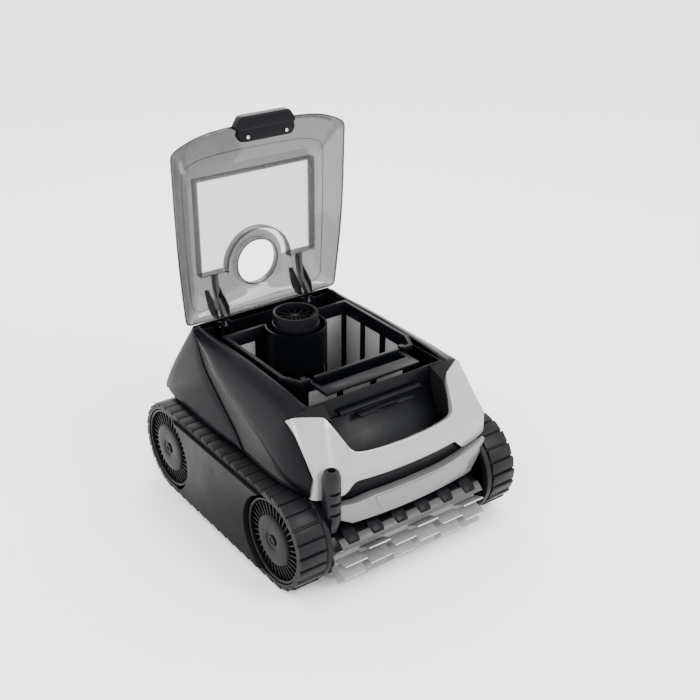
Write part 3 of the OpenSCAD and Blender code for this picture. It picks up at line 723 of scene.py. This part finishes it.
# %% Brush
SECTIONS, BLADES = 6, 10
brush_mid = middle("brush_core")
brush_low, brush_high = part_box("brush_blades")
brush_half = (brush_high.x - brush_low.x) / 2
brush_reach = (brush_high.z - brush_low.z) / 2
CORE_R = 0.0155
BLADE_REACH = brush_reach - 0.0012 - CORE_R
BLADE_ROOT, BLADE_END, BLADE_LEAN = 0.0034, 0.0016, 0.0045
BLADE_GAP = 0.004


def blade_plate(width):
    deselect()
    bpy.ops.mesh.primitive_cube_add(size=1, location=(0, 0, 0))
    plate = bpy.context.object
    edit_all((bpy.ops.mesh.subdivide, {"number_cuts": 5}))
    for v in plate.data.vertices:
        t = v.co.z + 0.5
        v.co.x *= width * (1 - 0.06 * t)
        v.co.y = v.co.y * (BLADE_ROOT * (1 - t) + BLADE_END * t) - BLADE_LEAN * t * t
        v.co.z = CORE_R - 0.001 + BLADE_REACH * t
    eased(plate, 0.3, 1, 40)
    plate.data.materials.append(FINISH["brush_rubber"])
    plate.data.materials.append(TIP_PAINTED_HIGHLIGHT)
    # faces at the very tip get the pale finish, a painted highlight along each blade's edge
    for face in plate.data.polygons:
        if face.normal.z > 0.55 and face.center.z > CORE_R + 0.9 * BLADE_REACH:
            face.material_index = 1
    return plate


def brush_roller():
    width = 2 * brush_half / SECTIONS
    plate = blade_plate(width - BLADE_GAP)
    blades = []
    for i in range(SECTIONS):
        place = Matrix.Translation((-brush_half + (i + 0.5) * width, brush_mid.y, brush_mid.z))
        for k in range(BLADES):
            turn = 2 * math.pi * (k + 0.5 * (i % 2)) / BLADES
            blades.append(placed_copy(plate, "blade", place @ Matrix.Rotation(turn, 4, "X")))
    bpy.data.objects.remove(plate)
    deselect()
    bpy.ops.mesh.primitive_cylinder_add(vertices=48, radius=CORE_R, depth=2 * brush_half - 0.002,
                                        location=brush_mid, rotation=(0, math.pi / 2, 0))
    tube = bpy.context.object
    bpy.ops.object.transform_apply(location=True, rotation=True, scale=True)
    tube.data.materials.append(FINISH["brush_rubber"])
    tube.data.materials.append(TIP_PAINTED_HIGHLIGHT)
    eased(tube, 1.0, 2, 40)
    joined([tube] + blades, "brush_roller")
    return finished(tube, "brush", "brush_rubber", ["brush_blades"], smooth=35, keep=True)


brush_roller()

# %% [markdown]
# Wheels, boots and outlets are turned parts: one outline carried round an
# axis. By hand that is a circle, extruded again and again, each new ring
# moved along the axis and scaled to its radius. The wheel's fins are one
# thin cube, copied round.

# %% Turned parts
def turned(name, profile, place, axis="X", side=1, ends=(True, True), vertices=96):
    """Rings of (distance along the axis, radius) in millimetres, joined one after another."""
    deselect()
    turn = (0, math.pi / 2, 0) if axis == "X" else (0, 0, 0)
    step = Vector((side, 0, 0)) if axis == "X" else Vector((0, 0, 1))
    first, radius = profile[0]
    bpy.ops.mesh.primitive_circle_add(vertices=vertices, radius=radius * MM, fill_type="NOTHING",
                                      location=Vector(place) + step * first * MM, rotation=turn)
    piece = bpy.context.object
    piece.name = name
    bpy.ops.object.transform_apply(location=True, rotation=True, scale=True)
    bpy.ops.object.mode_set(mode="EDIT")
    bpy.ops.mesh.select_all(action="SELECT")
    if ends[0]:
        bpy.ops.mesh.edge_face_add()
        bpy.ops.mesh.select_all(action="SELECT")
    bpy.ops.object.mode_set(mode="OBJECT")
    ring = list(range(vertices))
    for far, wide in profile[1:]:
        bpy.ops.object.mode_set(mode="EDIT")
        bpy.ops.mesh.select_all(action="DESELECT")
        bpy.ops.mesh.select_mode(type="VERT")
        bpy.ops.object.mode_set(mode="OBJECT")
        for i in ring:
            piece.data.vertices[i].select = True
        before = len(piece.data.vertices)
        bpy.ops.object.mode_set(mode="EDIT")
        bpy.ops.mesh.extrude_edges_move()
        bpy.ops.object.mode_set(mode="OBJECT")
        ring = list(range(before, before + vertices))
        for i in ring:
            co = piece.data.vertices[i].co
            away = co - Vector(place) - step * first * MM
            away = away - step * away.dot(step)
            co[:] = Vector(place) + step * far * MM + away.normalized() * wide * MM
        first = far
    if ends[1]:
        bpy.ops.object.mode_set(mode="EDIT")
        bpy.ops.mesh.select_all(action="DESELECT")
        bpy.ops.object.mode_set(mode="OBJECT")
        for i in ring:
            piece.data.vertices[i].select = True
        bpy.ops.object.mode_set(mode="EDIT")
        bpy.ops.mesh.edge_face_add()
        bpy.ops.object.mode_set(mode="OBJECT")
    edit_all(OUTWARD)
    return piece


WHEEL_FACE = [(154.2, 63), (154.2, 67.4), (154.8, 68), (207.6, 68), (208.6, 67), (208.6, 65),
              (207.2, 63.6), (186, 63.2), (185, 62), (185, 43.5), (186, 42.2), (206.5, 41.2),
              (208.6, 39.4), (209.2, 36), (209.6, 30), (209.8, 15.5), (208.4, 14.2), (208.2, 9.4)]
WHEEL_BACK = [(154.2, 63), (180, 62.6), (180.4, 20), (163, 20), (163, 9.4)]
FINS = 36
HUB_DISC_R, HUB_DISC_X = 0.0418, 0.186
FIN_IN_R, FIN_OUT_R, FIN_THICK = 0.0415, 0.0635, 0.0022


def wheel_fin(side):
    """One slanted fin between the hub disc and the rim, straight above the axle."""
    deselect()
    bpy.ops.mesh.primitive_cube_add(size=1)
    fin = bpy.context.object
    fin.data.materials.append(FINISH["wheel_plastic"])
    for v in fin.data.vertices:
        inner = v.co.z < 0
        v.co.x = side * (0.1845 if v.co.x < 0 else (0.2062 if inner else 0.2048))
        v.co.y = v.co.y * FIN_THICK + (-0.0016 if inner else 0.0026)
        v.co.z = FIN_IN_R if inner else FIN_OUT_R
    return fin


def wheel(node, body, side):
    mid = middle(node)
    place = Vector((0, mid.y, mid.z))
    face = turned(node + "_disc", WHEEL_FACE, place, side=side, ends=(False, False))
    back = turned("back", WHEEL_BACK, place, side=side, ends=(False, False))
    back.data.materials.append(FINISH["wheel_plastic"])
    face.data.materials.append(FINISH["wheel_plastic"])
    face.data.materials.append(WHEEL_HUB)
    for part in face.data.polygons:
        spot = part.center - place
        if math.hypot(spot.y, spot.z) < HUB_DISC_R and abs(spot.x) > HUB_DISC_X:
            part.material_index = 1
    fin = wheel_fin(side)
    fins = [placed_copy(fin, "fin", Matrix.Translation(place) @ Matrix.Rotation(2 * math.pi * k / FINS, 4, "X"))
            for k in range(FINS)]
    bpy.data.objects.remove(fin)
    joined([face, back] + fins)
    edit_all((bpy.ops.mesh.remove_doubles, {"threshold": 0.00001}), OUTWARD)
    eased(face, 0.4, 2, 38)
    return finished(face, body, "wheel_plastic", [node], smooth=34, keep=True)


for end in ("front", "rear"):
    wheel(f"wheel_{end}_left", f"wheel_{end}_left", -1)
    wheel(f"wheel_{end}_right", f"wheel_{end}_right", 1)

# %% [markdown]
# The axle cap is a small dimpled button in the middle of each wheel. It
# belongs to the machine's frame, so it stands still while the wheel turns.

# %% Axle caps
caps = []
CAP_PROFILE = [(204.8, 8.4), (209.6, 8.4), (210.6, 7.4), (210.8, 5.2), (209.4, 4.4), (209.2, 0.6)]
for side in (-1, 1):
    for end in ("front", "rear"):
        hub = middle("wheel_" + end + ("_left" if side < 0 else "_right"))
        caps.append(turned("axle_cap", CAP_PROFILE, Vector((0, hub.y, hub.z)), side=side, vertices=40))
finished(joined(caps), "root", "black_plastic", ["axle_caps"], finish=WHEEL_HUB)

# %% [markdown]
# The lid is a shallow tray of clear plastic. Its rim, flange, shoulder and
# crown are four closed outlines with the same number of corners. Rounding
# every outline the same way keeps them in step, so each can be joined to the
# next, and the crown is then joined to the round hole of the outlet.

# %% Clear lid
HINGE_Y, HINGE_Z = 170, 270
outlet_mid = middle("outlet_grille")
HOLE_FROM_HINGE = HINGE_Y - (outlet_mid.y - axle_mid_y) / MM
lid_rim = [(0, 337, -1.6), (60, 336, -2), (112, 331.6, -2.6), (150, 317, 0), (163, 307, 1),
           (163, 296, 1.4), (161, 150, 4.4), (151, 30, 11.4), (148.5, 12.4, 11.8), (130, 12.2, 12),
           (60, 12.2, 12), (0, 12.2, 12)]
lid_flange = [(0, 332, 5.6), (60, 331, 5.4), (110, 326.6, 5.4), (145, 312, 8), (156, 300, 9.4),
              (157, 290, 10), (154, 150, 14), (144, 34, 19.4), (141, 16.6, 20), (126, 15, 20.6),
              (60, 14.6, 21), (0, 14.6, 21)]
lid_shoulder = [(0, 290, 23.5), (60, 289.4, 23.2), (104, 286, 23), (128, 277, 23.6), (135, 266, 25),
                (136, 256, 25.6), (135, 150, 27.6), (131, 54, 28), (129, 32, 26.6), (116, 24, 26.4),
                (60, 21, 26.6), (0, 21, 26.6)]
lid_crown = [(0, 262, 35.4), (58, 262, 35.4), (96, 260, 35.6), (114, 254, 36), (120, 246, 36.2),
             (121, 236, 36.4), (121, 150, 36.8), (120, 70, 36.4), (118, 54, 35), (106, 44, 33.6),
             (58, 38, 33), (0, 38, 33)]


def rounded_loop(half, rounds=3):
    """A closed outline from one half of it, with its corners cut three times."""
    loop = [Vector(p) for p in half] + [Vector((-p[0], p[1], p[2])) for p in half[-2:0:-1]]
    for _ in range(rounds):
        cut = []
        for a, b in zip(loop, loop[1:] + loop[:1]):
            cut += [a.lerp(b, 0.25), a.lerp(b, 0.75)]
        loop = cut
    return loop


def toward_hole(loop, radius, height):
    rim = []
    for p in loop:
        away = Vector((p.x, p.y - HOLE_FROM_HINGE, 0)).normalized()
        rim.append(Vector((away.x * radius, HOLE_FROM_HINGE + away.y * radius, height)))
    return rim


def stood_up(loop):
    """From distance and height about the hinge to the open lid's place."""
    turned_up = [Vector((p.x, HINGE_Y + p.z, HINGE_Z + p.y)) for p in loop]
    return turned_up + turned_up[:1]


loops = [rounded_loop(half) for half in (lid_rim, lid_flange, lid_shoulder, lid_crown)]
hole_edge = toward_hole(loops[3], 44.5, 36.9)
COLLAR = [(41.6, 38.6), (39.7, 38.6), (39.7, 27)]
loops += [[a.lerp(b, t) + Vector((0, 0, 0.5 * math.sin(math.pi * t))) for a, b in zip(loops[3], hole_edge)]
          for t in (0.12, 0.4, 0.75)]
loops.append(hole_edge)
loops += [toward_hole(loops[3], radius, height) for radius, height in COLLAR]
lid = skin("clear_lid", [[stood_up(loop) for loop in loops]], mirrored=False)
apply_modifier(lid, "wall", "SOLIDIFY", thickness=0.0024, offset=-1.0)
eased(lid, 0.6, 2, 30)
finished(lid, "lid", "smoked_clear", ["lid_shell"], smooth=38)

# %% [markdown]
# Inside its raised frame the lid is a thinner, clearer pane. The finish finds
# that window from the piece's own coordinates: between the frame's sides,
# between its ends, and outside the round collar.

# %% The clearer pane
def math_node(tree, operation, *values):
    """A Math node: a socket is linked, a number is set."""
    made = add_node(tree, "ShaderNodeMath", {"operation": operation})
    for place, value in zip(made.inputs, values):
        if isinstance(value, (int, float)):
            place.default_value = value
        else:
            tree.links.new(value, place)
    return made.outputs["Value"]


def thin_pane(made, half_x, low, high, hole, radius, share):
    tree = made.node_tree
    place = add_node(tree, "ShaderNodeTexCoord")
    parts = add_node(tree, "ShaderNodeSeparateXYZ")
    tree.links.new(place.outputs["Object"], parts.inputs["Vector"])
    flat = add_node(tree, "ShaderNodeVectorMath", {"operation": "MULTIPLY"})
    flat.inputs[1].default_value = (1, 0, 1)
    tree.links.new(place.outputs["Object"], flat.inputs[0])
    away = add_node(tree, "ShaderNodeVectorMath", {"operation": "DISTANCE"})
    away.inputs[1].default_value = (0, 0, hole)
    tree.links.new(flat.outputs["Vector"], away.inputs[0])
    window = math_node(tree, "LESS_THAN", math_node(tree, "ABSOLUTE", parts.outputs["X"]), half_x)
    for test in (math_node(tree, "GREATER_THAN", parts.outputs["Z"], low),
                 math_node(tree, "LESS_THAN", parts.outputs["Z"], high),
                 math_node(tree, "GREATER_THAN", away.outputs["Value"], radius)):
        window = math_node(tree, "MULTIPLY", window, test)
    thinner = math_node(tree, "MULTIPLY_ADD", window, share - 1, 1)
    alpha = tree.nodes["Principled BSDF"].inputs["Alpha"]
    tree.links.new(math_node(tree, "MULTIPLY", alpha.links[0].from_socket, thinner), alpha)


frame_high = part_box("lid_frame")[1]
RIB_MIDDLE = 0.0035
COLLAR_R = 0.054
thin_pane(FINISH["smoked_clear"], frame_high.x - RIB_MIDDLE, (HINGE_Z + 87) * MM, frame_high.z - RIB_MIDDLE,
          (HINGE_Z + HOLE_FROM_HINGE) * MM, COLLAR_R, share=0.42)
print("the pane lets through more than the rest of the lid")

# %% [markdown]
# Light bends where the clear wall ends, so the lid's edges look almost black.
# A slim bead along the rim and another round the hole give that line. Each is
# a curve with a round section, made into a mesh.

# %% Lid beads
def bead(name, loop, lift, radius, finish):
    points = stood_up([p + Vector((0, 0, lift)) for p in loop])
    data = bpy.data.curves.new(name, "CURVE")
    data.dimensions = "3D"
    data.bevel_depth = radius * MM
    data.bevel_resolution = 3
    data.use_fill_caps = True
    spline = data.splines.new("POLY")
    spline.points.add(len(points) - 1)
    for spot, p in zip(spline.points, points):
        spot.co = (*at(*p), 1)
    spline.use_cyclic_u = True
    spline.points[-1].co = (*at(*points[-1].lerp(points[-2], 0.3)), 1)
    piece = bpy.data.objects.new(name, data)
    bpy.context.scene.collection.objects.link(piece)
    choose(piece)
    bpy.ops.object.convert(target="MESH")
    return finished(bpy.context.object, "lid", "smoked_clear", [], finish=finish, smooth=60)


bead("lid_edge_bead", loops[0], 0.2, 1.5, LID_BEAD)
bead("lid_hole_bead", loops[-1], -1.2, 1.1, LID_BEAD)
bead("lid_shoulder_line", loops[2], -1.0, 0.7, LID_RIB)

# %% [markdown]
# Between the hatch's front corners and the silver front, the casing turns
# down in flat facets. They are cut like paper: a few flat faces that share
# edges, given a wall. The side walls of the grip's recess belong to the
# same moulding.

# %% Corner facets
HATCH_SIDE = [(103, -142.6, 268.6), (130.3, -141, 270.5), (160, -139.2, 262.3)]
FOLD = [(104, -156, 262.6), (128, -156.5, 263.2), (148, -148.5, 262.2)]
PILLAR_SIDE = [(106, -170, 254.5), (115, -166, 260.5), (120, -160, 261)]
GRIP_FRONT = [(106, -170, 254.5), (101, -186, 232), (97, -202, 206)]
GRIP_FOLD = [(104, -156, 262.6), (103.4, -147, 240), (103, -143.5, 200)]
GRIP_BACK = [(103, -142.6, 268.6), (103.4, -143.2, 240), (103, -143.4, 200)]
facets = [[HATCH_SIDE, FOLD, PILLAR_SIDE], [GRIP_FOLD, GRIP_FRONT], [GRIP_BACK, GRIP_FOLD]]
corner = skin("corner_facets", facets)
apply_modifier(corner, "wall", "SOLIDIFY", thickness=0.0018, offset=-1.0)
finished(corner, "root", "grey_panel", [], smooth=20)

# %% [markdown]
# Over the brush a dark hood carries curved brackets, and a grey wiper strip
# runs along their noses, held by one small screw at each. Hood and strip are
# bent plates swept along the machine, and a bracket is one outline that is
# pulled in at both ends, made six times.

# %% Brush hood, brackets and wiper
guard_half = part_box("brush_guard")[1].x / MM - 1
HOOD = [(-199, 92.8), (-214, 92.0), (-227, 88.6), (-233, 84.4),
        (-232, 83.2), (-226, 87.0), (-214, 90.2), (-199, 91)]
WIPER = [(-229, 89.8), (-236, 85.6), (-241.5, 79.8), (-242, 77.9), (-240, 78.2), (-234.6, 83.8), (-228.4, 87.8)]
BRACKET = [(-198, 101), (-212, 100), (-223, 97), (-231, 91.5), (-236.6, 86.6), (-239.6, 82.6),
           (-237, 81.4), (-231, 86.6), (-223, 90.5), (-212, 93.4), (-198, 94)]
BRACKET_ENDS = [(-13, 2.4), (-11, 0.7), (-8, 0), (8, 0), (11, 0.7), (13, 2.4)]
BRACKETS = 6
SCREW = [(0, 2.3), (1.0, 2.3), (1.5, 1.7), (1.5, 0.4)]


def swept_plate(name, outline, stations):
    """A closed outline in Y and Z carried through stations of (x, how far it is pulled in)."""
    grid = [[Vector((x, y + pull, z - pull)) for y, z in outline + outline[:1]] for x, pull in stations]
    plate = skin(name, [grid], mirrored=False)
    edit_all((bpy.ops.mesh.fill_holes, {"sides": len(outline) + 2}), OUTWARD)
    return plate


full_width = [(x, 0) for x in (-guard_half, -46, 46, guard_half)]
hood = swept_plate("brush_hood", HOOD, full_width)
finished(hood, "root", "black_plastic", ["brush_guard"], smooth=38)
strip = swept_plate("wiper_strip", WIPER, full_width)
eased(strip, 0.3, 2, 40)
finished(strip, "root", "brush_rubber", [], finish=WIPER_GREY, smooth=40)

brackets, screws = [], []
for k in range(BRACKETS):
    mid_x = -guard_half + (k + 0.5) * 2 * guard_half / BRACKETS
    brackets.append(swept_plate("bracket", BRACKET, [(mid_x + dx, pull) for dx, pull in BRACKET_ENDS]))
    screws.append(turned("screw", SCREW, at(mid_x, -236, 84.6), axis="Z", vertices=20))
bracket_row = joined(brackets, "brush_brackets")
eased(bracket_row, 0.6, 2, 35)
finished(bracket_row, "root", "black_plastic", [], smooth=38)
finished(joined(screws, "wiper_screws"), "root", "steel", [], finish=FINISH["black_plastic"], smooth=30)

# %% [markdown]
# Each lid arm stands between two dark wings that stiffen the lid over its
# hinge. A wing is a flat plate with seven corners that leans away from the
# lid. It is made four times, with a small bevel.

# %% Hinge wings
WING = [(10.5, 10), (30, 10.5), (48, 19), (60, 26.5), (57, 32.5), (26, 28), (12, 20)]


def slab(name, row, other_row):
    """A flat piece between two outlines with the same number of points."""
    plate = skin(name, [[row + row[:1], other_row + other_row[:1]]], mirrored=False)
    edit_all((bpy.ops.mesh.fill_holes, {"sides": 0}), OUTWARD)
    return plate


def stood(x, d, h):
    return Vector((x, HINGE_Y + h, HINGE_Z + d))


ARM_X = 84
WING_STARTS = (-15.5, 6.5)
WING_LEAN = 0.45
HALF_WALL = 1.2
wings = []
for side in (-1, 1):
    for start in WING_STARTS:
        rows = [[stood(side * ARM_X + start + t + WING_LEAN * (30 - h), d, h) for d, h in WING]
                for t in (-HALF_WALL, HALF_WALL)]
        wings.append(slab("wing", *rows))
hinge_wings = joined(wings, "hinge_wings")
eased(hinge_wings, 0.5, 2, 35)
finished(hinge_wings, "lid", "smoked_clear", [], finish=LID_ARM, smooth=38)

# %% [markdown]
# The latch is a black hood across the lid's lip. Its base is screwed to the
# lid and spreads at the foot; the lever over it narrows toward the top. Both
# are slabs with well rounded edges.

# %% Latch hood
BASE_HALF = [(52, 334), (54, 322), (48, 313), (42, 311.8)]
HOOD_HALF = [(55.6, 331), (55.6, 337), (47, 350), (43, 352.8)]


def latch_slab(name, half, low, high):
    outline = [(-x, d) for x, d in half] + half[::-1]
    return slab(name, *[[stood(x, d, h) for x, d in outline] for h in (low, high)])


base = latch_slab("latch_base_moulding", BASE_HALF, -15.8, -6)
eased(base, 2.2, 3, 25)
finished(base, "lid", "black_plastic", ["latch_base"], smooth=40)
lever = latch_slab("latch_hood", HOOD_HALF, -15.8, 1.8)
eased(lever, 3.2, 4, 25)
finished(lever, "lid_latch", "black_plastic", ["latch_lever"], smooth=40)

# %% [markdown]
# The last group needs no new shapes. These nodes stay as they are in the
# frame and only get a finish.

# %% Parts that keep the frame's own mesh
for node, cad_object in frame["nodes"].items():
    cad_object.data.materials.clear()
    cad_object.data.materials.append(FINISH[SLOT_OF[node]])
